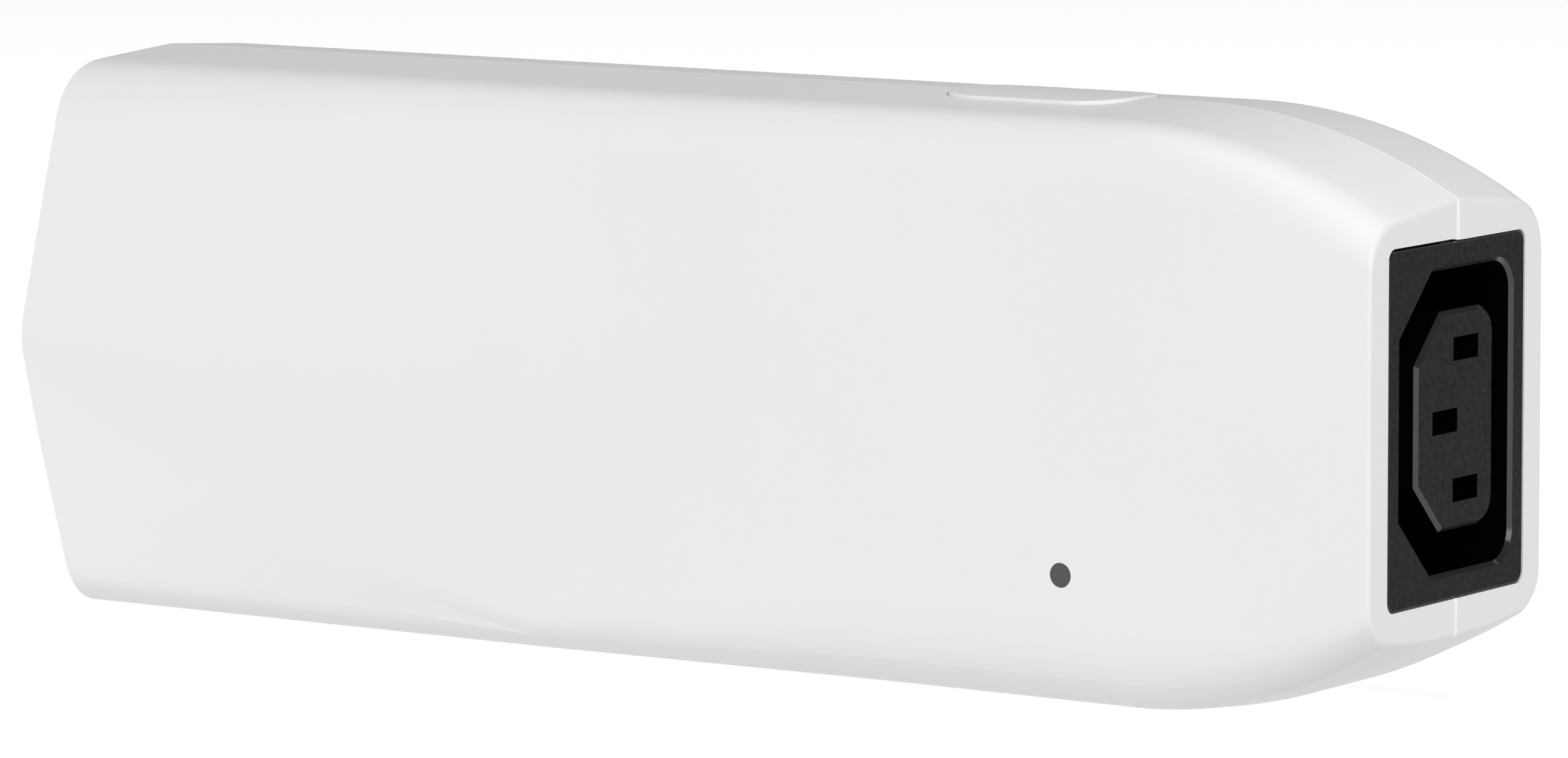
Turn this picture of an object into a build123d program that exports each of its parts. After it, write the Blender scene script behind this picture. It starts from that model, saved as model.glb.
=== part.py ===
from build123d import *
import os

os.makedirs("parts", exist_ok=True)

# Frame: +X towards the outlet end, -Y the front with the status lens, +Z up.
# Origin: centre of the bottom land the adapter stands on, half way along its length.

# ---------- overall sizes, mm ----------
half_length = 81.4
height = 60.4
mid_height = 30.1
half_depth = 17.9
ridge_half_depth = 26.0
wall = 2.0
end_wall = 2.2
seam_chamfer = 0.1
seam_groove = 0.42
roof_fall = 0.066
foot_rise = 0.82
rim_steps = [(-0.3, 0.0), (-0.1, 0.1), (0.0, 0.3)]
land_half_width = 6.0

# ---------- where the shape changes along X ----------
inlet_end = -half_length
outlet_end = half_length
crease_end = -18.8
ridge_end = 22.0
nose_start = 50.8
nose_roof_radius = 61.5
nose_floor_radius = 57.0
nose_side_radius = 390.0

# ---------- end faces ----------
plate_half_width = 13.1
plate_half_height = 17.65
plate_gap = 0.12
front_top_gap = 0.3
outlet_height = 30.4
inlet_height = 39.4
jack_height = 13.8

# ---------- control button ----------
button_x = 34.05
button_length = 21.9
button_width = 13.3
button_corner = 5.6
button_proud = 0.2
button_rim = 0.5
button_gap = 0.15

# ---------- status lens ----------
lens_x = 46.6
lens_z = 14.3
lens_radius = 1.25
lens_gap = 0.05

# ---------- circuit board ----------
board_front = 7.0
board_thickness = 1.6
board_rear = board_front + board_thickness

# ---------- outlet (sheet F) and inlet (sheet E) of the mains connector standard ----------
pole_pitch = 14.0
earth_shift = 4.0
blade_width = 4.0
blade_thickness = 2.0
plate_corner = 1.2
plate_set_back = 0.05
recess_half_width = 10.7
recess_half_height = 15.0
recess_depth = 16.0
recess_round = 3.0
recess_cut = 6.2
island_half_width = 7.45
island_half_height = 10.9
island_round = 2.8
island_cut = 4.9
island_set_back = 0.15
edge_break = 0.4
plate_edge = 0.15
flange_half_width = 13.9
flange_half_height = 18.8
flange_corner = 5.0
flange_thickness = 1.65
slot_half_width = 2.4
slot_half_height = 1.17

# ---------- fasteners (x, z) ----------
housing_screw_places = [(-54.5, 52.0), (-54.5, 8.6), (60.0, 50.9), (60.0, 9.5)]
board_screw_places = [(-51.5, 26.0), (-6.0, 9.0), (49.5, 48.5), (49.5, 27.0)]
housing_screw_radius = 1.45
board_screw_radius = 1.0

# ---------- wires ----------
mains_wire_radius = 1.1
wire_bend = 2.3


# ---------- housing cross-section ----------
def nose_fall(x, radius):
    """How far a nose arc of this radius has fallen at x."""
    run = max(0.0, x - nose_start)
    return radius - (radius**2 - run**2) ** 0.5


def blend(x, x_low, x_high, low, high):
    """Straight run of a value between two stations, held outside them."""
    share = min(1.0, max(0.0, (x - x_low) / (x_high - x_low)))
    return low + (high - low) * share


def ease_out(x, x_low, x_high):
    """Share left between two stations: falls straight at first, then eases to nothing."""
    share = min(1.0, max(0.0, (x_high - x) / (x_high - x_low)))
    soft = 0.25
    return ((share**2 + soft**2) ** 0.5 - soft) / ((1 + soft**2) ** 0.5 - soft)


def section_corners(x):
    """Corners (depth, height) of half the housing at x, from the top seam round to the bottom seam."""
    fall = nose_fall(x, nose_roof_radius)
    rise = nose_fall(x, nose_floor_radius)
    side = nose_fall(x, nose_side_radius)
    nose = blend(x, nose_start, outlet_end, 0, 1)
    top = height - fall
    bottom = rise
    roof_drop = roof_fall * half_depth * (1 + 0.5 * nose)
    bulge = ridge_half_depth - half_depth
    ridge_depth = half_depth + 0.06 + bulge * ease_out(x, inlet_end, ridge_end) - side
    ridge_z = blend(x, inlet_end, ridge_end, mid_height + 0.6, mid_height - 1.8)
    crease_depth = blend(x, inlet_end, crease_end, 23.4, 18.3)
    crease_depth = crease_depth - blend(x, crease_end, ridge_end, 0, 0.4) - side
    crease_z = blend(x, inlet_end, crease_end, mid_height - 10.0, mid_height - 26.3)
    crease_z = crease_z + blend(x, crease_end, ridge_end, 0, 2.7) + rise - 3.2 * nose
    foot_depth = blend(x, inlet_end, crease_end, 17.7, 15.4)
    foot_depth = foot_depth - blend(x, crease_end, ridge_end, 0, 1.2) - side + 1.2 * nose
    return [
        (0, top),
        (half_depth - side, top - roof_drop),
        (ridge_depth, ridge_z),
        (crease_depth, crease_z),
        (foot_depth, bottom + foot_rise),
        (land_half_width, bottom),
        (0, bottom),
    ]


def corner_reach(x):
    """How far from each corner its rounding starts at x: top edge, ridge, crease, foot."""
    top_edge = blend(x, inlet_end, crease_end, 6.0, 5.2)
    ridge = blend(x, inlet_end, ridge_end, 2.6, 8.0)
    crease = blend(x, inlet_end, crease_end, 4.0, 2.0) + blend(x, crease_end, ridge_end, 0, 1.3)
    foot = blend(x, inlet_end, crease_end, 4.6, 2.1) + blend(x, crease_end, ridge_end, 0, 1.3)
    nose_loss = blend(x, nose_start, outlet_end, 0, 1.9)
    return [top_edge, ridge, crease - nose_loss, foot - nose_loss]


def step_towards(start, end, distance):
    """The point this far from start on the way to end."""
    start, end = Vector(*start), Vector(*end)
    return start + (end - start).normalized() * distance


def inset_corners(corners, amount):
    """The same corners moved in by a wall thickness, along the mitre at each."""
    moved = []
    for i, corner in enumerate(corners):
        here = Vector(*corner)
        before = Vector(*corners[i - 1]) if i else here - Vector(1, 0)
        after = Vector(*corners[i + 1]) if i + 1 < len(corners) else here - Vector(1, 0)
        run_in = (here - before).normalized()
        run_out = (after - here).normalized()
        normal_in = Vector(run_in.Y, -run_in.X)
        normal_out = Vector(run_out.Y, -run_out.X)
        mitre = (normal_in + normal_out) / (1 + normal_in.dot(normal_out))
        moved.append(here + mitre * amount)
    moved[0] = Vector(0, moved[0].Y)
    moved[-1] = Vector(0, moved[-1].Y)
    return [(point.X, point.Y) for point in moved]


def half_section(x, inset=0.0, shrink=0.0):
    """Closed outline at x of the half in front of the seam, moved in for a wall or shrunk for a rim."""
    corners = section_corners(x)
    reach = corner_reach(x)
    if shrink:
        corners = inset_corners(corners, shrink)
    if inset:
        corners = inset_corners(corners, inset)
        reach = [max(1.0, value - inset) for value in reach]
    notch = 0.0 if inset else seam_chamfer

    def place(point):
        return Vector(x, -point[0], point[1])

    top, foot = corners[0][1], corners[-1][1]
    outline = []
    here = (notch, top)
    if notch:
        outline.append(Edge.make_line(place((0, top - notch)), place(here)))
    for corner, after, distance in zip(corners[1:5], corners[2:6], reach):
        start = step_towards(corner, here, distance)
        end = step_towards(corner, after, distance)
        start, end = (start.X, start.Y), (end.X, end.Y)
        outline.append(Edge.make_line(place(here), place(start)))
        outline.append(Edge.make_bezier(place(start), place(corner), place(end)))
        here = end
    outline.append(Edge.make_line(place(here), place(corners[5])))
    outline.append(Edge.make_line(place(corners[5]), place((notch, foot))))
    if notch:
        outline.append(Edge.make_line(place((notch, foot)), place((0, foot + notch))))
    outline.append(Edge.make_line(place((0, foot + notch)), place((0, top - notch))))
    return Face(Wire(outline))


def half_body(stations, nose_stations, inset=0.0):
    """Solid half body: straight-ruled up to the nose, smooth round it."""
    trunk = loft([half_section(x, inset) for x in stations], ruled=True)
    nose = loft([half_section(x, inset) for x in nose_stations])
    return trunk + nose


def rounded_rim(end, way):
    """Ruled rings that round the outline over the last fraction of a millimetre of an end."""
    rings = [half_section(end + way * step, shrink=shrink) for step, shrink in rim_steps]
    return loft(rings if way > 0 else rings[::-1], ruled=True)


def block(x_range, y_range, z_range):
    """Box between three pairs of limits."""
    size = [high - low for low, high in (x_range, y_range, z_range)]
    centre = [(high + low) / 2 for low, high in (x_range, y_range, z_range)]
    return Pos(*centre) * Box(*size)


def rod_y(x, z, radius, y_low, y_high):
    """Round rod along Y between two depths."""
    length = y_high - y_low
    return Pos(x, (y_low + y_high) / 2, z) * Rot(90, 0, 0) * Cylinder(radius, length)


def write(shape, name):
    export_step(shape, f"parts/{name}.step")


def group(solids):
    return Compound(children=list(solids))


def rounded_prism_z(length, width, radius, x, z_low, z_high):
    """Upright prism with rounded corners, centred on the seam plane."""
    outline = RectangleRounded(length, width, radius)
    return extrude(Pos(x, 0, z_low) * outline, amount=z_high - z_low)


def rounded_prism_x(half_width, half_height, radius, x_low, x_high, z):
    """Prism along X with rounded corners, centred on the seam plane at this height."""
    plane = Plane(origin=(x_low, 0, z), x_dir=(0, 1, 0), z_dir=(1, 0, 0))
    outline = RectangleRounded(2 * half_width, 2 * half_height, radius)
    return extrude(plane * outline, amount=x_high - x_low)


def connector_prism(half_width, half_height, cut, corner_radius, x_low, x_high, z):
    """Prism of the keyed mains connector outline: two corners cut off in front, two rounded behind."""
    outline = Rectangle(2 * half_width, 2 * half_height)
    front = outline.vertices().filter_by_position(Axis.X, -half_width - 1, 0)
    outline = chamfer(front, cut)
    rear = outline.vertices().filter_by_position(Axis.X, half_width - 0.01, half_width + 1)
    outline = fillet(rear, corner_radius)
    plane = Plane(origin=(x_low, 0, z), x_dir=(0, 1, 0), z_dir=(1, 0, 0))
    return extrude(plane * outline, amount=x_high - x_low)


def pole_places(z):
    """Name, depth and height of the three poles of a mains connector centred at this height."""
    return [
        ("line", earth_shift / 2, z + pole_pitch / 2),
        ("neutral", earth_shift / 2, z - pole_pitch / 2),
        ("earth", -earth_shift / 2, z),
    ]


# ---------- housing ----------
rim_depth = -rim_steps[0][0]
fade_stations = [crease_end + k * (ridge_end - crease_end) / 4 for k in range(5)]
lead_stations = [-60.0, -40.0, *fade_stations, nose_start]
nose_stations = [nose_start, 56.0, 61.0, 66.0, 71.0, 76.0]
outer_half = half_body(
    [inlet_end + rim_depth, *lead_stations], [*nose_stations, outlet_end - rim_depth]
)
outer_half += rounded_rim(outlet_end, 1) + rounded_rim(inlet_end, -1)
inner_half = half_body(
    [inlet_end + end_wall, *lead_stations], [*nose_stations, outlet_end - end_wall], wall
)
front_outer, rear_outer = outer_half, mirror(outer_half, Plane.XZ)
front_shell = outer_half - inner_half
rear_shell = mirror(front_shell, Plane.XZ)

# pockets that hold the two mains connectors behind their flanges
outlet_body_half_width = 12.3
outlet_body_half_height = 16.75
outlet_flange_back = 77.2
inlet_body_half_width = 10.2
inlet_body_half_height = 14.2
inlet_flange_back = -77.4
pocket_rib = 1.7
pocket_gap = 0.15

outlet_rib = block(
    (outlet_flange_back - 0.1 - pocket_rib, outlet_flange_back - 0.1), (-30, 30), (0, height)
)
outlet_rib -= block(
    (outlet_flange_back - 5, outlet_flange_back + 5),
    (-outlet_body_half_width - pocket_gap, outlet_body_half_width + pocket_gap),
    (
        outlet_height - outlet_body_half_height - pocket_gap,
        outlet_height + outlet_body_half_height + pocket_gap,
    ),
)
inlet_rib = block(
    (inlet_flange_back + 0.1, inlet_flange_back + 0.1 + pocket_rib), (-30, 30), (24.0, height)
)
inlet_rib -= block(
    (inlet_flange_back - 5, inlet_flange_back + 5),
    (-inlet_body_half_width - pocket_gap, inlet_body_half_width + pocket_gap),
    (
        inlet_height - inlet_body_half_height - pocket_gap,
        inlet_height + inlet_body_half_height + pocket_gap,
    ),
)
front_shell += (outlet_rib + inlet_rib) & front_outer
rear_shell += (outlet_rib + inlet_rib) & rear_outer

# screw pillars: threaded blind pillars in front, clearance pillars with sunk heads behind
screw_head_depth = 11.0
for x, z in housing_screw_places:
    front_shell += rod_y(x, z, 3.2, -30, 0) & front_outer
    rear_shell += rod_y(x, z, 3.6, 0, 30) & rear_outer
for x, z in housing_screw_places:
    front_shell -= rod_y(x, z, housing_screw_radius + 0.03, -9, 1)
    rear_shell -= rod_y(x, z, housing_screw_radius + 0.15, -1, 30)
    rear_shell -= rod_y(x, z, 2.9, screw_head_depth, 30)
for x, z in board_screw_places:
    rear_shell += rod_y(x, z, 2.5, board_rear, 30) & rear_outer
for x, z in board_screw_places:
    rear_shell -= rod_y(x, z, board_screw_radius + 0.03, board_rear - 1, 14.6)

# small groove where the halves meet on the end faces
for end in (inlet_end, outlet_end):
    groove = Pos(end, 0, height / 2) * Rot(0, 0, 45) * Box(seam_groove, seam_groove, height)
    front_shell -= groove
    rear_shell -= groove

# openings: outlet plate, inlet face, network jack, button and lens
plate_hole = rounded_prism_x(
    plate_half_width + plate_gap, plate_half_height + plate_gap, plate_corner, 70, 90, outlet_height
)
inlet_hole = block(
    (-90, inlet_flange_back - 1.7),
    (-inlet_body_half_width - plate_gap, inlet_body_half_width + plate_gap),
    (
        inlet_height - inlet_body_half_height - plate_gap,
        inlet_height + inlet_body_half_height + plate_gap,
    ),
)
jack_hole = block((-90, -78), (-6.6, 7.1), (jack_height - 8.15, jack_height + 8.15))
button_hole = rounded_prism_z(
    button_length + 2 * button_gap,
    button_width + 2 * button_gap,
    button_corner + button_gap,
    button_x,
    50,
    70,
)
front_shell -= plate_hole + inlet_hole + jack_hole + button_hole
front_shell -= Pos(0, 0, front_top_gap - plate_gap) * plate_hole
rear_shell -= plate_hole + inlet_hole + jack_hole + button_hole
front_shell -= rod_y(lens_x, lens_z, lens_radius, -30, -10)
write(front_shell, "front_shell")
write(rear_shell, "rear_shell")

housing_screw = []
for x, z in housing_screw_places:
    screw = rod_y(x, z, housing_screw_radius, -8, screw_head_depth + 0.5)
    screw += rod_y(x, z, 2.6, screw_head_depth, screw_head_depth + 2)
    for turn in (0, 90):
        slot = Pos(x, screw_head_depth + 2, z) * Rot(0, turn, 0) * Box(3.2, 1.6, 0.7)
        screw -= slot
    housing_screw.append(screw)
write(group(housing_screw), "housing_screws")

# ---------- control button ----------
flange_ledge = 1.6
crown_peak = height + button_proud
crown_edge = crown_peak - 10 * roof_fall
crown_sides = Polyline((-10, crown_edge), (-10, 56), (10, 56), (10, crown_edge))
crown_arc = ThreePointArc((10, crown_edge), (0, crown_peak), (-10, crown_edge))
crown_plane = Plane(origin=(0, 0, 0), x_dir=(0, 1, 0), z_dir=(1, 0, 0))
crown_bar = extrude(crown_plane * make_face([*crown_sides.edges(), crown_arc]), amount=80)
button = crown_bar & rounded_prism_z(
    button_length, button_width, button_corner, button_x, 57.4, 62
)
rim = [edge for edge in button.edges() if edge.bounding_box().min.Z > height - 1]
button = fillet(rim, button_rim)
button += rounded_prism_z(
    button_length + 2 * flange_ledge, button_width + 2 * flange_ledge, button_corner, button_x, 56.4, 57.6
)
switch_y = 3.8
button += block(
    (button_x - 1.6, button_x + 1.6), (switch_y - 1.6, switch_y + 1.6), (54.02, 56.5)
)
write(button, "pair_button")

switch_body = block((button_x - 3, button_x + 3), (0.8, board_front), (47.5, 53.0))
switch_body -= Pos(button_x, switch_y, 52.0) * Cylinder(1.65, 2.4)
for side in (-1, 1):
    for z in (48.5, 52.0):
        foot_x = button_x + side * 3.35
        switch_body += block((foot_x - 0.4, foot_x + 0.4), (6.3, board_front), (z - 0.4, z + 0.4))
write(switch_body, "switch_body")
write(Pos(button_x, switch_y, 52.76) * Cylinder(1.6, 2.48), "switch_plunger")

# ---------- status lens and lamp ----------
lens_face = -17.85
lens = rod_y(lens_x, lens_z, lens_radius - lens_gap, lens_face, 5.6)
lens += rod_y(lens_x, lens_z, 2.3, -15.6, -14.4)
write(lens, "status_lens")
lamp = block((lens_x - 1.0, lens_x + 1.0), (6.0, board_front), (lens_z - 0.9, lens_z + 0.9))
write(lamp, "status_lamp")

# ---------- outlet ----------
outlet_face = outlet_end - plate_set_back
outlet_back = 56.5
chamber_lid = 2.2
chamber_half = 1.9
clip_back, clip_front = 59.4, 77.5
clip_half_width = 2.2
clip_grip = 1.05
clip_sheet = 0.5
tail_half = 0.4
outlet_body = rounded_prism_x(
    plate_half_width, plate_half_height, plate_corner, outlet_flange_back, outlet_face, outlet_height
)
outlet_body = chamfer(outlet_body.faces().sort_by(Axis.X)[-1].edges(), plate_edge)
outlet_body += rounded_prism_x(
    flange_half_width,
    flange_half_height,
    flange_corner,
    outlet_flange_back,
    outlet_flange_back + flange_thickness,
    outlet_height,
)
outlet_body += block(
    (outlet_back, outlet_flange_back),
    (-outlet_body_half_width, outlet_body_half_width),
    (outlet_height - outlet_body_half_height, outlet_height + outlet_body_half_height),
)
outlet_body -= connector_prism(
    recess_half_width,
    recess_half_height,
    recess_cut,
    recess_round,
    outlet_face - recess_depth,
    outlet_face + 1,
    outlet_height,
)
outlet_body += connector_prism(
    island_half_width,
    island_half_height,
    island_cut,
    island_round,
    outlet_face - recess_depth - 1,
    outlet_face - island_set_back,
    outlet_height,
)
mouth_edges = []
for edge in outlet_body.edges():
    middle = edge.center()
    in_front = edge.bounding_box().min.X > outlet_face - island_set_back - 0.01
    in_mouth = abs(middle.Y) <= recess_half_width and abs(middle.Z - outlet_height) <= recess_half_height
    if in_front and in_mouth:
        mouth_edges.append(edge)
outlet_body = chamfer(mouth_edges, edge_break)
for pole, y, z in pole_places(outlet_height):
    outlet_body -= block(
        (50, 90),
        (y - slot_half_width, y + slot_half_width),
        (z - slot_half_height, z + slot_half_height),
    )
    outlet_body -= block(
        (50, outlet_face - chamber_lid), (y - 2.7, y + 2.7), (z - chamber_half, z + chamber_half)
    )
    clip = block(
        (clip_back, clip_front),
        (y - clip_half_width, y + clip_half_width),
        (z - clip_grip - clip_sheet, z + clip_grip + clip_sheet),
    )
    clip -= block((clip_back + 0.6, 78), (y - 3, y + 3), (z - clip_grip, z + clip_grip))
    clip += block((54.5, clip_back + 0.2), (y - 1.5, y + 1.5), (z - tail_half, z + tail_half))
    write(clip, f"outlet_{pole}_clip")
write(outlet_body, "outlet_body")

# ---------- inlet ----------
inlet_face = inlet_end + 0.1
inlet_floor = inlet_face + 16.5
inlet_back = -61.0
inlet_body = block(
    (inlet_face, inlet_back),
    (-inlet_body_half_width, inlet_body_half_width),
    (inlet_height - inlet_body_half_height, inlet_height + inlet_body_half_height),
)
inlet_body += rounded_prism_x(
    12.0, 16.0, 3.0, inlet_flange_back - 1.6, inlet_flange_back, inlet_height
)
inlet_body -= connector_prism(8.2, 12.25, 5.5, 2.5, inlet_face - 1, inlet_floor, inlet_height)
for pole, y, z in pole_places(inlet_height):
    half_blade = blade_width / 2
    half_thick = blade_thickness / 2
    inlet_body -= block(
        (inlet_floor - 1, -50),
        (y - half_blade - 0.02, y + half_blade + 0.02),
        (z - half_thick - 0.02, z + half_thick + 0.02),
    )
    blade_start = inlet_face + (1.0 if pole == "earth" else 2.0)
    blade = block(
        (blade_start, inlet_back + 0.2), (y - half_blade, y + half_blade), (z - half_thick, z + half_thick)
    )
    tip = [e for e in blade.edges() if abs(e.center().X - blade_start) < 0.01]
    blade = chamfer(tip, 0.5)
    blade += block((inlet_back, -55.5), (y - 1.5, y + 1.5), (z - tail_half, z + tail_half))
    write(blade, f"inlet_{pole}_blade")
write(inlet_body, "inlet_body")

# ---------- network jack ----------
jack_face = inlet_end + 0.1
jack_back = -60.2
jack_front = -6.4
jack_low, jack_high = jack_height - 8.0, jack_height + 8.0
shield_sheet = 0.3
plug_half_height = 5.9
latch_half_height = 3.1
contact_count = 8
contact_pitch = 1.02
contact_width = 0.4
slit_half = 0.3

shield = block((jack_face, jack_back), (jack_front, board_front), (jack_low, jack_high))
shield -= block(
    (jack_face - 1, jack_back - shield_sheet),
    (jack_front + shield_sheet, board_front + 1),
    (jack_low + shield_sheet, jack_high - shield_sheet),
)
write(shield, "jack_shield")

insert = block(
    (jack_face + 0.2, jack_back - 0.5),
    (jack_front + 0.5, board_front - 0.3),
    (jack_low + 0.5, jack_high - 0.5),
)
insert -= block((-90, -67.0), (-2.6, 5.2), (jack_height - plug_half_height, jack_height + plug_half_height))
insert -= block((-90, -71.0), (-5.0, -2.5), (jack_height - latch_half_height, jack_height + latch_half_height))
jack_contacts = []
for k in range(contact_count):
    z = jack_height + (k - (contact_count - 1) / 2) * contact_pitch
    insert -= block((-79.6, -66.0), (5.0, 6.4), (z - slit_half, z + slit_half))
    insert -= block((-68.0, -66.0), (2.6, 8.0), (z - slit_half, z + slit_half))
    bent_strip = Polyline(
        (-79.0, 5.7),
        (-69.0, 3.1),
        (-66.3, 3.1),
        (-66.3, board_front),
        (-66.6, board_front),
        (-66.6, 3.4),
        (-69.0, 3.4),
        (-79.0, 6.0),
        close=True,
    )
    start = Pos(0, 0, z - contact_width / 2)
    jack_contacts.append(extrude(start * make_face(bent_strip), amount=contact_width))
write(insert, "jack_insert")
write(group(jack_contacts), "jack_contacts")

# ---------- circuit board ----------
board = block((-56, 54), (board_front, board_rear), (5.0, 55.4))
board += block((-79.0, -55), (board_front, board_rear), (6.0, 22.6))
for x, z in housing_screw_places:
    board -= rod_y(x, z, 4.2, 0, 20)
for x, z in board_screw_places:
    board -= rod_y(x, z, board_screw_radius + 0.1, 0, 20)
write(board, "circuit_board")

board_head = 1.5
board_screws = []
for x, z in board_screw_places:
    screw = rod_y(x, z, board_screw_radius, board_front - 0.5, 13.6)
    screw += rod_y(x, z, 1.9, board_front - board_head, board_front)
    screw -= Pos(x, board_front - board_head, z) * Box(2.6, 1.2, 0.6)
    board_screws.append(screw)
write(group(board_screws), "board_screws")


def on_board(x, z, size_x, size_z, tall, lift=0.0):
    """Box standing on the front of the board, centred at x, z."""
    return block(
        (x - size_x / 2, x + size_x / 2),
        (board_front - lift - tall, board_front - lift),
        (z - size_z / 2, z + size_z / 2),
    )


def can(x, z, radius, tall, lift=0.0):
    """Round part standing on the front of the board."""
    return rod_y(x, z, radius, board_front - lift - tall, board_front - lift)


def chip(x, z, size_x, size_z, tall, leads, pitch, rows_along_x=True):
    """Moulded chip with a row of bent leads on two sides."""
    body = on_board(x, z, size_x, size_z, tall, 0.15)
    for side in (-1, 1):
        for k in range(leads):
            run = (k - (leads - 1) / 2) * pitch
            if rows_along_x:
                body += on_board(x + run, z + side * (size_z / 2 + 0.5), pitch / 2, 1.4, 0.4)
            else:
                body += on_board(x + side * (size_x / 2 + 0.5), z + run, 1.4, pitch / 2, 0.4)
    return body


# mains input: fuse, surge varistor, two film capacitors and the common-mode choke
fuse_place, fuse_radius, fuse_tall = (-43.0, 46.0), 4.2, 7.5
write(can(*fuse_place, fuse_radius, fuse_tall), "fuse")

varistor = on_board(-33.5, 47.0, 4.6, 11.0, 12.0)
varistor_round = 3.0
write(fillet(varistor.edges().filter_by(Axis.X), varistor_round), "surge_varistor")

film_capacitors = [on_board(-21.5, 46.5, 17.5, 7.0, 13.0), on_board(12.5, 47.0, 13.0, 6.0, 12.0)]
write(group(film_capacitors), "mains_capacitors")

choke_place = Pos(-3.5, board_front - 9.0, 46.0)
choke_outer, choke_inner, choke_tall = 7.0, 3.6, 5.0
choke_core = Cylinder(choke_outer, choke_tall) - Cylinder(choke_inner, choke_tall + 1)
write(choke_place * choke_core, "choke_core")
turns_per_side = 7
first_turn, turn_step = 28, 20.67
turn_wire = 0.8
choke_turns = []
for k in range(2 * turns_per_side):
    angle = first_turn + (k % turns_per_side) * turn_step + (180 if k >= turns_per_side else 0)
    ring = Box(5.2, turn_wire, 7.0) - Box(3.7, 1.0, 5.3)
    middle = Pos((choke_outer + choke_inner) / 2, 0, 0)
    choke_turns.append(choke_place * Rot(0, 0, angle) * middle * ring)
write(group(choke_turns), "choke_windings")
write(on_board(-3.5, 46.0, 13.0, 8.0, 1.0), "choke_base")

# supply: rectifier, bulk capacitors, controller, transformer and feedback
bridge_rectifier = chip(24.5, 47.0, 8.4, 6.4, 3.4, leads=2, pitch=5.1)
write(bridge_rectifier, "bridge_rectifier")

bulk_radius, bulk_tall, bulk_z = 6.2, 18.5, 36.0
bulk_capacitors = []
for x in (31.0, 44.5):
    capacitor = can(x, bulk_z, bulk_radius, bulk_tall)
    bulk_capacitors.append(fillet(capacitor.edges().filter_by(GeomType.CIRCLE), 0.5))
write(group(bulk_capacitors), "bulk_capacitors")

supply_controller = chip(19.0, 30.5, 6.4, 9.0, 3.4, leads=4, pitch=2.2, rows_along_x=False)
write(supply_controller, "supply_controller")

# transformer: two core halves round a bobbin that carries the winding
trafo = (4.0, 29.5)
core = on_board(*trafo, 16.0, 5.0, 13.0, lift=1.5)
core -= on_board(*trafo, 11.4, 6.0, 8.6, lift=3.7)
core += on_board(*trafo, 4.0, 5.0, 9.0, lift=3.5)
write(core, "transformer_core")
flange_size = (11.0, 13.0, 0.8)
bobbin = on_board(*trafo, *flange_size, lift=3.8)
bobbin += on_board(*trafo, *flange_size, lift=11.4)
bobbin += on_board(*trafo, 5.8, 6.8, 8.4, lift=3.8)
for side in (-1, 1):
    bobbin += on_board(trafo[0], trafo[1] + side * 7.3, 15.0, 2.0, 3.8)
    bobbin += on_board(trafo[0], trafo[1] + side * 6.4, 11.0, 1.2, 0.8, lift=3.0)
bobbin -= on_board(*trafo, 4.2, 5.2, 12.0, lift=2.0)
write(bobbin, "transformer_bobbin")
winding = on_board(*trafo, 10.6, 12.0, 6.6, lift=4.7)
winding -= on_board(*trafo, 6.0, 7.0, 8.0, lift=4.0)
write(winding, "transformer_winding")

write(chip(-10.5, 33.0, 4.6, 6.4, 3.4, leads=2, pitch=2.54, rows_along_x=False), "opto_coupler")
disc_place, disc_radius, disc_tall = (-10.5, 24.5), 3.8, 3.6
disc_legs = on_board(*disc_place, 4.0, 0.8, 1.4)
write(can(*disc_place, disc_radius, disc_tall, lift=1.0) + disc_legs, "safety_capacitor")

output_radius, output_tall, output_z = 4.0, 11.5, 30.0
output_capacitors = [can(x, output_z, output_radius, output_tall) for x in (-20.5, -30.0)]
write(group(output_capacitors), "output_capacitors")

# drum inductor: a waisted ferrite bobbin with its winding in the waist
drum = (-40.0, 31.0)
drum_radius, waist_radius = 4.4, 2.4
drum_core = can(*drum, drum_radius, 7.5) - can(*drum, drum_radius, 4.5, lift=1.5)
drum_core += can(*drum, waist_radius, 5, lift=1)
write(drum_core, "inductor_core")
drum_turns = can(*drum, drum_radius - 0.4, 4.3, lift=1.6) - can(*drum, waist_radius + 0.05, 6, lift=1)
write(drum_turns, "inductor_winding")

# signal side: powerline coupling, modem under its heat sink, memory and network chips
line_transformer = chip(38.0, 19.0, 9.0, 8.0, 7.0, leads=3, pitch=2.54, rows_along_x=False)
write(line_transformer, "line_transformer")
write(on_board(26.5, 20.5, 10.0, 4.5, 8.5), "line_capacitor")

modem, modem_size, modem_tall = (8.5, 12.5), (14.0, 12.0), 1.4
write(on_board(*modem, *modem_size, modem_tall), "line_modem_chip")
sink_tall, sink_base = 6.5, 1.6
fin_pitch, fin_gap = 3.0, 1.6
heat_sink = on_board(*modem, *modem_size, sink_tall, lift=modem_tall)
for k in range(4):
    gap_x = modem[0] + (k - 1.5) * fin_pitch
    heat_sink -= on_board(gap_x, modem[1], fin_gap, 20.0, sink_tall, lift=modem_tall + sink_base)
write(heat_sink, "heat_sink")

work_memory = chip(-19.0, 13.0, 8.0, 11.0, 1.1, leads=8, pitch=1.27, rows_along_x=False)
boot_memory = chip(-31.0, 20.0, 5.0, 4.0, 1.6, leads=4, pitch=1.27)
write(group([work_memory, boot_memory]), "memory_chips")
crystal = on_board(23.5, 11.0, 11.0, 4.5, 3.6)
crystal_round = 2.2
write(fillet(crystal.edges().filter_by(Axis.Y), crystal_round), "clock_crystal")
write(on_board(-33.0, 11.0, 8.0, 8.0, 0.9), "network_chip")
network_magnetics = chip(-47.0, 16.5, 7.2, 12.6, 5.2, leads=8, pitch=1.27, rows_along_x=False)
write(network_magnetics, "network_magnetics")

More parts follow.
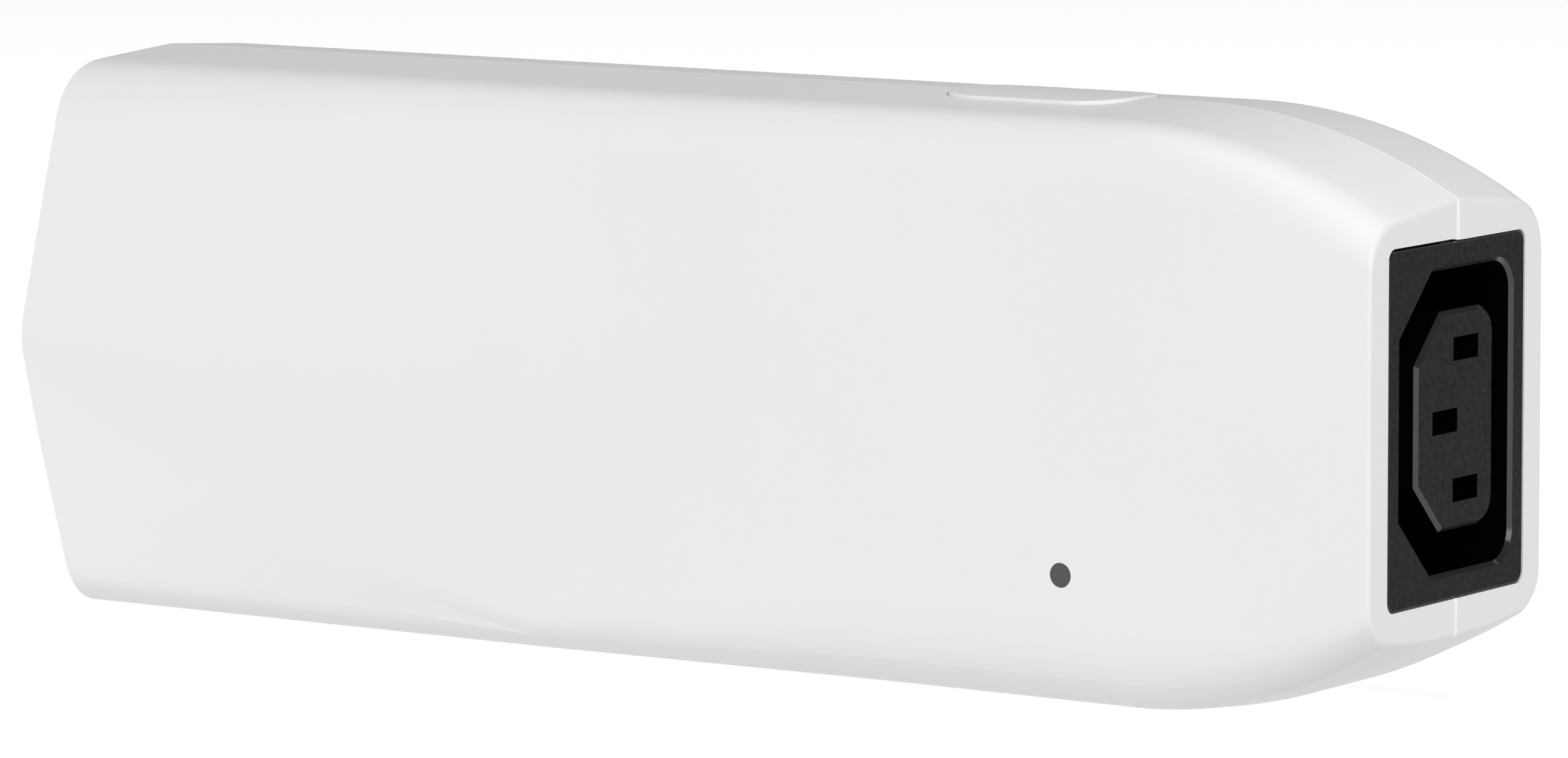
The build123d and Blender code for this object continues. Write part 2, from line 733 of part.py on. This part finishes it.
# small chip parts (x, z)
small_size = (1.6, 0.8)
resistor_tall, ceramic_tall = 0.5, 0.9
resistor_places = [(-24.5, 22.5), (-13.0, 15.5), (-13.0, 11.5), (0.5, 19.9), (16.5, 20.5), (31.0, 12.5)]
ceramic_places = [(-24.5, 20.0), (-26.5, 13.0), (-26.5, 9.0), (4.5, 19.9), (16.8, 16.5), (33.5, 12.5)]
write(group(on_board(*place, *small_size, resistor_tall) for place in resistor_places), "chip_resistors")
write(group(on_board(*place, *small_size, ceramic_tall) for place in ceramic_places), "chip_capacitors")
regulators = [chip(x, 10.0, 3.0, 1.7, 1.1, leads=2, pitch=1.9) for x in (39.0, 52.0)]
write(group(regulators), "voltage_regulators")


# ---------- internal wires ----------
def wire(points, name):
    """Insulated wire along straight runs joined by arcs."""
    path = FilletPolyline(*points, radius=wire_bend)
    start = Plane(origin=path @ 0, z_dir=path % 0)
    write(sweep(start * Circle(mains_wire_radius), path=path), name)


solder_gap = 0.1
board_touch = board_front - 0.05
inlet_tail = -55.5 + solder_gap
outlet_tail = 54.5 - solder_gap
for pole, y, z in pole_places(inlet_height):
    if pole != "earth":
        wire([(inlet_tail, y, z), (-51.6, y, z), (-51.6, board_touch, z)], f"inlet_{pole}_wire")
for pole, y, z in pole_places(outlet_height):
    if pole != "earth":
        wire([(outlet_tail, y, z), (51.9, y, z), (51.9, board_touch, z)], f"outlet_{pole}_wire")
earth_y = -earth_shift / 2
wire_lane = -13.3
wire(
    [
        (inlet_tail, earth_y, inlet_height),
        (-50.0, earth_y, inlet_height),
        (-50.0, wire_lane, inlet_height),
        (50.2, wire_lane, inlet_height),
        (50.2, wire_lane, outlet_height),
        (50.2, earth_y, outlet_height),
        (outlet_tail, earth_y, outlet_height),
    ],
    "earth_wire",
)
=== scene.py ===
import bmesh
import bpy
from bpy.props import FloatProperty, FloatVectorProperty, PointerProperty
from mathutils import Matrix, Vector

bl_info = {
    "name": "Powerline adapter",
    "version": (1, 0, 0),
    "blender": (4, 5, 0),
    "location": "View3D > Sidebar > Adapter",
    "description": "Finishes the parts of an in-line powerline adapter and sets its studio",
    "category": "Object",
}

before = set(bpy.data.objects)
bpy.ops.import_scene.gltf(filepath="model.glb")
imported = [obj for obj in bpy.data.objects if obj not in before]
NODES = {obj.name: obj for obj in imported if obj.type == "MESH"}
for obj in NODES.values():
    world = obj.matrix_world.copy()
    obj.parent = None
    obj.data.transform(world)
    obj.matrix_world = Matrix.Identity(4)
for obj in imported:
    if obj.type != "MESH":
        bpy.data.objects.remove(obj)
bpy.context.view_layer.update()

MM = 0.001


def linear(code):
    """Linear colour from an sRGB hex value."""
    channels = [int(code[i:i + 2], 16) / 255 for i in (1, 3, 5)]
    return tuple(c / 12.92 if c <= 0.04045 else ((c + 0.055) / 1.055) ** 2.4 for c in channels)


def add_node(tree, kind, settings=None, links=None):
    """Add a node, set its attributes or input values, and link its inputs from other sockets."""
    node = tree.nodes.new(kind)
    for key, value in (settings or {}).items():
        if isinstance(key, int) or key in node.inputs:
            node.inputs[key].default_value = value
        else:
            setattr(node, key, value)
    for key, socket in (links or {}).items():
        tree.links.new(socket, node.inputs[key])
    return node


def new_material(name):
    """Empty node material with its shader and output."""
    material = bpy.data.materials.new(name)
    material.use_nodes = True
    tree = material.node_tree
    tree.nodes.clear()
    shader = add_node(tree, "ShaderNodeBsdfPrincipled")
    add_node(tree, "ShaderNodeOutputMaterial", links={"Surface": shader.outputs["BSDF"]})
    return material, tree, shader


def surface(name, light, dark, roughness, grain, depth, stretch=(1, 1, 1), blotch=12.0, **sockets):
    """Finish with a grain of this size in millimetres: it tints, roughens and raises the surface.

    light and dark are the linear ends of its colour, roughness is a pair, stretch lengthens the
    grain along an axis, blotch is the size of the slow drift, and sockets are set on the shader.
    """
    material, tree, shader = new_material(name)
    for key, value in sockets.items():
        shader.inputs[key.replace("_", " ")].default_value = value
    place = add_node(tree, "ShaderNodeTexCoord").outputs["Object"]
    laid = add_node(tree, "ShaderNodeMapping", {"Scale": stretch}, {"Vector": place})
    fine = add_node(
        tree,
        "ShaderNodeTexNoise",
        {"Scale": 1 / (grain * MM), "Detail": 3.0, "Roughness": 0.55},
        {"Vector": laid.outputs["Vector"]},
    )
    slow = add_node(
        tree,
        "ShaderNodeTexNoise",
        {"Scale": 1 / (blotch * MM), "Detail": 2.0, "Roughness": 0.5},
        {"Vector": place},
    )
    both = add_node(
        tree,
        "ShaderNodeMath",
        {"operation": "MULTIPLY_ADD", 1: 0.5},
        {0: fine.outputs["Fac"], 2: slow.outputs["Fac"]},
    )
    share = add_node(
        tree,
        "ShaderNodeMapRange",
        {"From Min": 0.45, "From Max": 1.05},
        {"Value": both.outputs["Value"]},
    )
    tint = add_node(
        tree,
        "ShaderNodeMix",
        {"data_type": "RGBA", 6: (*dark, 1), 7: (*light, 1)},
        {0: share.outputs["Result"]},
    )
    gloss = add_node(
        tree,
        "ShaderNodeMapRange",
        {"From Min": 0.3, "From Max": 0.7, "To Min": roughness[0], "To Max": roughness[1]},
        {"Value": fine.outputs["Fac"]},
    )
    relief = add_node(
        tree,
        "ShaderNodeBump",
        {"Strength": 1.0, "Distance": depth * MM},
        {"Height": fine.outputs["Fac"]},
    )
    tree.links.new(tint.outputs[2], shader.inputs["Base Color"])
    tree.links.new(gloss.outputs["Result"], shader.inputs["Roughness"])
    tree.links.new(relief.outputs["Normal"], shader.inputs["Normal"])
    return material


def black_with_painted_shade_and_glint():
    """Glass-filled polyester: end faces eroded to a speckled charcoal, walls polished for release.

    The grained faces scatter light and read dark grey; the polished walls mirror each other with thin
    glints, and their colour is painted near-black as painted shade of the recesses, while the slanted edges
    between carry a painted highlight, a lighter grey line.
    """
    material, tree, shader = new_material("black_polyester_painted_shade_and_glint")
    place = add_node(tree, "ShaderNodeTexCoord")
    facing = add_node(tree, "ShaderNodeSeparateXYZ", links={"Vector": place.outputs["Normal"]})
    along = add_node(tree, "ShaderNodeMath", {"operation": "ABSOLUTE"}, {0: facing.outputs["X"]})
    face = add_node(
        tree, "ShaderNodeMapRange", {"From Min": 0.8, "From Max": 0.95}, {"Value": along.outputs["Value"]}
    )
    # painted highlight: faces slanted between the end faces and the walls get a lighter grey line
    chamfer_glint_mask = add_node(
        tree, "ShaderNodeMapRange", {"From Min": 0.4, "From Max": 0.6}, {"Value": along.outputs["Value"]}
    )
    speckle = add_node(
        tree,
        "ShaderNodeTexNoise",
        {"Scale": 1 / (0.55 * MM), "Detail": 4.0, "Roughness": 0.7},
        {"Vector": place.outputs["Object"]},
    )
    spread = add_node(
        tree, "ShaderNodeMapRange", {"From Min": 0.35, "From Max": 0.68}, {"Value": speckle.outputs["Fac"]}
    )
    grain = add_node(
        tree,
        "ShaderNodeMix",
        {"data_type": "RGBA", 6: (*linear("#0A0B0A"), 1), 7: (*linear("#252825"), 1)},
        {0: spread.outputs["Result"]},
    )
    # painted shade and painted highlight: the walls near-black as the shade of the recesses, the slanted
    # edges a lighter grey
    walls = add_node(
        tree,
        "ShaderNodeMix",
        {"data_type": "RGBA", 6: (*linear("#050505"), 1), 7: (*linear("#2A2C2A"), 1)},
        {0: chamfer_glint_mask.outputs["Result"]},
    )
    tint = add_node(
        tree,
        "ShaderNodeMix",
        {"data_type": "RGBA"},
        {0: face.outputs["Result"], 6: walls.outputs[2], 7: grain.outputs[2]},
    )
    gloss = add_node(
        tree,
        "ShaderNodeMapRange",
        {"To Min": 0.14, "To Max": 0.6},
        {"Value": face.outputs["Result"]},
    )
    mirror = add_node(
        tree,
        "ShaderNodeMapRange",
        {"To Min": 0.55, "To Max": 0.12},
        {"Value": face.outputs["Result"]},
    )
    relief = add_node(
        tree, "ShaderNodeBump", {"Strength": 1.0, "Distance": 0.01 * MM}, {"Height": speckle.outputs["Fac"]}
    )
    tree.links.new(tint.outputs[2], shader.inputs["Base Color"])
    tree.links.new(gloss.outputs["Result"], shader.inputs["Roughness"])
    tree.links.new(relief.outputs["Normal"], shader.inputs["Normal"])
    tree.links.new(mirror.outputs["Result"], shader.inputs["Specular IOR Level"])
    shader.inputs["IOR"].default_value = 1.5
    return material


def striped_insulation():
    """Extruded earth wire insulation: green with yellow stripes that wind round it."""
    material, tree, shader = new_material("green_yellow_wire_insulation")
    place = add_node(tree, "ShaderNodeTexCoord").outputs["Object"]
    stripe = add_node(
        tree,
        "ShaderNodeTexWave",
        {"Scale": 0.1 / MM, "Distortion": 0.4, "wave_type": "BANDS", "bands_direction": "DIAGONAL"},
        {"Vector": place},
    )
    ramp = add_node(
        tree,
        "ShaderNodeMapRange",
        {"From Min": 0.48, "From Max": 0.52},
        {"Value": stripe.outputs["Fac"]},
    )
    tint = add_node(
        tree,
        "ShaderNodeMix",
        {"data_type": "RGBA", 6: (*linear("#2F7D32"), 1), 7: (*linear("#D8C83A"), 1)},
        {0: ramp.outputs["Result"]},
    )
    tree.links.new(tint.outputs[2], shader.inputs["Base Color"])
    shader.inputs["Roughness"].default_value = 0.38
    return material


def finish(material, *names):
    """Give these CAD nodes the finish."""
    for name in names:
        node = NODES[name]
        node.data.materials.clear()
        node.data.materials.append(material)


# the camera's axes: back from the adapter, and up
CAMERA_BACK = Vector((0.57029, -0.81211, 0.12348))
CAMERA_UP = Vector((-0.06776, 0.10331, 0.99234))

SENSOR_WIDTH = 36.0  # millimetres, as the lens is
VIEW_REACH = 50.0  # metres that the camera sees
PAPER_HALF_WIDTH = 6.0  # metres
PAPER_GLOW = 0.8
SKY_EDGE = 0.35  # height of direction over which the light from the table fades out

SOFTBOX_SIZE = (1.2, 0.8)  # metres
SOFTBOX_DISTANCE = 1.5  # metres

# name, direction from the adapter, watts
SOFTBOXES = [
    ("soft_camera_high", (0.4, -0.58, 0.7), 10.2),
    ("soft_front_left", (-0.5, -0.85, 0.15), 4.2),
    ("soft_left", (-1.0, -0.25, 0.2), 4.2),
    ("soft_low_left", (-1.0, -0.5, -0.6), 8.1),
    ("soft_low_front", (0.4, -0.8, -0.5), 2.3),
    ("soft_right", (1.0, -0.25, 0.15), 10.5),
    ("soft_overhead", (0.0, 0.0, 1.0), 7.4),
    ("soft_overhead_back", (0.0, 0.6, 0.8), 2.7),
    ("soft_behind", (-0.4, 1.0, -0.3), 4.5),
]


class AdapterShellSettings(bpy.types.PropertyGroup):
    """Colour and texture of the two white housing halves and the button."""

    light: FloatVectorProperty(
        name="Light tone", description="Main colour of the plastic",
        default=linear("#F0F0F0"), size=3, subtype="COLOR", min=0, max=1,
    )
    dark: FloatVectorProperty(
        name="Dark tone", description="Colour its faint drift goes to",
        default=linear("#EDEDEE"), size=3, subtype="COLOR", min=0, max=1,
    )
    grain: FloatProperty(
        name="Texture pitch", description="Size of the eroded texture", default=0.35 * MM,
        unit="LENGTH", precision=5,
    )


class AdapterStudioSettings(bpy.types.PropertyGroup):
    """Camera place and the strength of the studio light."""

    camera: FloatVectorProperty(
        name="Camera", description="Camera place", default=(0.470239, -0.668693, 0.130601),
        size=3, subtype="TRANSLATION", unit="LENGTH",
    )
    lens: FloatProperty(name="Lens", description="Focal length in millimetres", default=181.67, min=1)
    ambient: FloatProperty(
        name="Ambient", description="Strength of the light thrown up by the pale table",
        default=0.387, min=0,
    )
    softbox: FloatProperty(
        name="Softboxes", description="Factor on the power of every softbox", default=1.0, min=0,
    )


class AdapterHousing(bpy.types.Operator):
    """Finish the two housing halves, the button and the lens"""

    bl_idname = "adapter.housing"
    bl_label = "Housing"

    def execute(self, context):
        shell = context.scene.adapter_shell
        # ABS moulded against a fine spark-eroded tool: an even satin that spreads highlights wide
        white = surface(
            "white_abs_spark_eroded", shell.light, shell.dark, (0.42, 0.52), shell.grain / MM, 0.004,
            blotch=40.0, IOR=1.50,
        )
        finish(white, "front_shell", "rear_shell", "pair_button")
        # smoked acrylic light pipe: dark with a polished outer face
        smoked = surface(
            "smoked_acrylic_polished", linear("#4A4A47"), linear("#3E3E3B"), (0.12, 0.2), 0.4, 0.001,
            IOR=1.49,
        )
        finish(smoked, "status_lens")
        return {"FINISHED"}


class AdapterConnectors(bpy.types.Operator):
    """Finish the outlet, the inlet and the network jack"""

    bl_idname = "adapter.connectors"
    bl_label = "Connectors"

    def execute(self, context):
        # the black parts carry painted shade on their walls and a painted highlight on their slanted edges
        finish(black_with_painted_shade_and_glint(), "outlet_body", "inlet_body", "jack_insert")
        # rolled brass strip, tinned: warm grey with streaks along the roll
        brass = surface(
            "tinned_brass_rolled", linear("#B9AE93"), linear("#948868"), (0.22, 0.38), 0.3, 0.002,
            stretch=(1, 1, 0.1), Metallic=1.0,
        )
        finish(brass, "outlet_line_clip", "outlet_neutral_clip", "outlet_earth_clip")
        # nickel-plated blades, barrel polished: bright with a soft haze
        nickel = surface(
            "nickel_plated_brass", linear("#C6C3BC"), linear("#A9A59C"), (0.16, 0.28), 0.5, 0.001,
            Metallic=1.0,
        )
        finish(nickel, "inlet_line_blade", "inlet_neutral_blade", "inlet_earth_blade")
        # tinned steel sheet, stamped: grey with fine rolling lines
        tinned = surface(
            "tinned_steel_sheet", linear("#B4B5B6"), linear("#97989A"), (0.24, 0.36), 0.25, 0.002,
            stretch=(0.1, 1, 1), Metallic=1.0,
        )
        finish(tinned, "jack_shield")
        # gold flash on the spring contacts: yellow and bright
        gold = surface(
            "gold_flashed_contact", linear("#E0B660"), linear("#C79B45"), (0.15, 0.25), 0.2, 0.0005,
            Metallic=1.0,
        )
        finish(gold, "jack_contacts")
        return {"FINISHED"}


class AdapterBoard(bpy.types.Operator):
    """Finish the circuit board, its components, the screws and the wires"""

    bl_idname = "adapter.board"
    bl_label = "Board, screws and wires"

    def execute(self, context):
        metal = {"Metallic": 1.0}
        # each row: name, light, dark, roughness, grain mm, depth mm, sockets, nodes
        rows = [
            # solder mask over glass cloth: glossy green with the weave showing through
            ("solder_mask_green", "#1E6B38", "#14522A", (0.2, 0.32), 0.6, 0.002, {},
             ["circuit_board"]),
            # zinc-plated steel: pale grey with a slight haze
            ("zinc_plated_steel", "#B9BDC2", "#8F949B", (0.28, 0.42), 0.3, 0.002, metal,
             ["housing_screws", "board_screws"]),
            # transfer-moulded epoxy: flat black with a fine grain
            ("moulded_epoxy_black", "#2A2A2B", "#1D1D1E", (0.5, 0.65), 0.15, 0.003, {},
             ["switch_body", "choke_base", "bridge_rectifier", "supply_controller", "transformer_bobbin",
              "opto_coupler", "line_transformer", "line_modem_chip", "memory_chips", "network_chip",
              "network_magnetics", "voltage_regulators"]),
            # moulded nylon: dull grey
            ("grey_nylon_moulded", "#6A6B6E", "#58595C", (0.45, 0.6), 0.3, 0.003, {},
             ["switch_plunger", "fuse"]),
            # moulded polyester capacitor boxes, potted: smooth warm yellow
            ("yellow_polyester_box", "#D9A83A", "#C6932A", (0.3, 0.42), 0.5, 0.003, {},
             ["mains_capacitors", "line_capacitor"]),
            # dipped epoxy: glossy blue with a slightly lumpy skin
            ("blue_epoxy_dipped", "#2C5FA8", "#214B8A", (0.2, 0.35), 1.5, 0.03, {},
             ["surge_varistor", "safety_capacitor"]),
            # sintered ferrite: dark grey with open pores
            ("ferrite_sintered", "#3B3B3D", "#29292B", (0.55, 0.7), 0.2, 0.01, {},
             ["choke_core", "transformer_core", "inductor_core"]),
            # enamelled copper wire: deep orange and glossy
            ("enamelled_copper", "#B5602C", "#8E431B", (0.2, 0.32), 0.5, 0.01, metal,
             ["choke_windings", "inductor_winding"]),
            # polyester tape wound flat: amber yellow with a soft gloss
            ("yellow_winding_tape", "#D8B54A", "#C49D33", (0.28, 0.4), 0.8, 0.01, {},
             ["transformer_winding"]),
            # shrink sleeve over an aluminium can: near-black and glossy
            ("shrink_sleeve_black", "#26272C", "#1B1C20", (0.2, 0.3), 1.0, 0.004, {},
             ["bulk_capacitors", "output_capacitors"]),
            # extruded aluminium: pale grey, satin from the die
            ("extruded_aluminium", "#B4B6B9", "#9A9CA0", (0.3, 0.45), 0.25, 0.004, metal,
             ["heat_sink"]),
            # drawn steel can of the crystal: bright and smooth
            ("drawn_steel_can", "#C2C2C0", "#A5A5A3", (0.2, 0.3), 0.4, 0.002, metal,
             ["clock_crystal"]),
            # cast clear resin of the lamp: milky and glossy
            ("clear_resin_cast", "#DDEADC", "#CADBC8", (0.12, 0.2), 0.6, 0.001, {},
             ["status_lamp"]),
            # glazed thick-film resistors: black with a low gloss
            ("glazed_resistor_black", "#2B2B2C", "#202021", (0.25, 0.35), 0.2, 0.002, {},
             ["chip_resistors"]),
            # fired ceramic capacitors: tan and dull
            ("fired_ceramic_tan", "#B79A74", "#A0835D", (0.4, 0.55), 0.2, 0.004, {},
             ["chip_capacitors"]),
            # extruded vinyl insulation of the line wires: smooth brown
            ("brown_wire_insulation", "#6A3F24", "#57321B", (0.32, 0.45), 0.4, 0.002, {},
             ["inlet_line_wire", "outlet_line_wire"]),
            # extruded vinyl insulation of the neutral wires: smooth blue
            ("blue_wire_insulation", "#2B5FAE", "#214F95", (0.32, 0.45), 0.4, 0.002, {},
             ["inlet_neutral_wire", "outlet_neutral_wire"]),
        ]
        for name, light, dark, roughness, grain, depth, sockets, names in rows:
            colours = linear(light), linear(dark)
            finish(surface(name, *colours, roughness, grain, depth, **sockets), *names)
        finish(striped_insulation(), "earth_wire")
        return {"FINISHED"}


def add_floor(scene):
    """Wide sheet of pale paper that glows, so that the adapter stands on an even white ground."""
    reach = PAPER_HALF_WIDTH
    mesh = bpy.data.meshes.new("studio_floor")
    build = bmesh.new()
    corners = ((-reach, -reach), (reach, -reach), (reach, reach), (-reach, reach))
    build.faces.new([build.verts.new((x, y, 0)) for x, y in corners])
    build.to_mesh(mesh)
    build.free()
    floor = bpy.data.objects.new("studio_floor", mesh)
    scene.collection.objects.link(floor)
    # uncoated paper: no gloss, and a drift too faint to show
    paper = surface(
        "white_paper_sweep", linear("#A8A8A8"), linear("#A4A4A4"), (0.85, 0.95), 1.0, 0.001,
        blotch=300.0, Emission_Color=(1, 1, 1, 1), Emission_Strength=PAPER_GLOW,
    )
    mesh.materials.append(paper)
    # the soft light reaches the adapter through the sheet, and the world stands in for its glow
    floor.visible_diffuse = False
    floor.visible_shadow = False


def add_world(scene, ambient):
    """White light from below, as a pale table throws it up, fading to none overhead."""
    world = bpy.data.worlds.new("studio_world")
    scene.world = world
    world.use_nodes = True
    sky = world.node_tree
    background = sky.nodes["Background"]
    background.inputs["Color"].default_value = (1, 1, 1, 1)
    way = add_node(sky, "ShaderNodeTexCoord").outputs["Generated"]
    parts = add_node(sky, "ShaderNodeSeparateXYZ", links={"Vector": way})
    ramp = add_node(
        sky,
        "ShaderNodeMapRange",
        {"From Min": -SKY_EDGE, "From Max": SKY_EDGE, "To Min": ambient, "To Max": 0.0},
        {"Value": parts.outputs["Z"]},
    )
    sky.links.new(ramp.outputs["Result"], background.inputs["Strength"])


def add_softboxes(scene, factor):
    """Large area lights round the adapter, each aimed at the middle of its foot."""
    for label, direction, watts in SOFTBOXES:
        lamp = bpy.data.lights.new(label, "AREA")
        lamp.shape = "RECTANGLE"
        lamp.size, lamp.size_y = SOFTBOX_SIZE
        lamp.energy = watts * factor
        box = bpy.data.objects.new(label, lamp)
        aim = Vector(direction).normalized()
        spin = aim.to_track_quat("Z", "Y").to_matrix().to_4x4()
        box.matrix_world = Matrix.Translation(aim * SOFTBOX_DISTANCE) @ spin
        scene.collection.objects.link(box)


def add_camera(scene, studio):
    """Long lens on the front and the outlet end, a little above the adapter."""
    back = CAMERA_BACK.normalized()
    right = CAMERA_UP.cross(back).normalized()
    up = back.cross(right)
    turn = Matrix((right, up, back)).transposed()
    data = bpy.data.cameras.new("studio_camera")
    data.lens = studio.lens
    data.sensor_width = SENSOR_WIDTH
    data.clip_end = VIEW_REACH
    camera = bpy.data.objects.new("studio_camera", data)
    camera.matrix_world = Matrix.Translation(Vector(studio.camera)) @ turn.to_4x4()
    scene.collection.objects.link(camera)
    scene.camera = camera


class AdapterStudio(bpy.types.Operator):
    """Build the floor, the lights and the camera"""

    bl_idname = "adapter.studio"
    bl_label = "Studio"

    def execute(self, context):
        scene = context.scene
        studio = scene.adapter_studio
        scene.view_settings.view_transform = "Standard"
        add_floor(scene)
        add_world(scene, studio.ambient)
        add_softboxes(scene, studio.softbox)
        add_camera(scene, studio)
        return {"FINISHED"}


class AdapterPanel(bpy.types.Panel):
    """Lists the steps that finish the adapter"""

    bl_idname = "VIEW3D_PT_adapter"
    bl_label = "Powerline adapter"
    bl_space_type = "VIEW_3D"
    bl_region_type = "UI"
    bl_category = "Adapter"

    def draw(self, context):
        for operator in OPERATORS:
            self.layout.operator(operator.bl_idname)


OPERATORS = (AdapterHousing, AdapterConnectors, AdapterBoard, AdapterStudio)
CLASSES = (AdapterShellSettings, AdapterStudioSettings, *OPERATORS, AdapterPanel)


def register():
    for cls in CLASSES:
        bpy.utils.register_class(cls)
    bpy.types.Scene.adapter_shell = PointerProperty(type=AdapterShellSettings)
    bpy.types.Scene.adapter_studio = PointerProperty(type=AdapterStudioSettings)


def unregister():
    del bpy.types.Scene.adapter_studio
    del bpy.types.Scene.adapter_shell
    for cls in reversed(CLASSES):
        bpy.utils.unregister_class(cls)


def main():
    """Register the add-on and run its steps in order."""
    register()
    bpy.ops.adapter.housing()
    bpy.ops.adapter.connectors()
    bpy.ops.adapter.board()
    bpy.ops.adapter.studio()


if __name__ == "__main__":
    main()
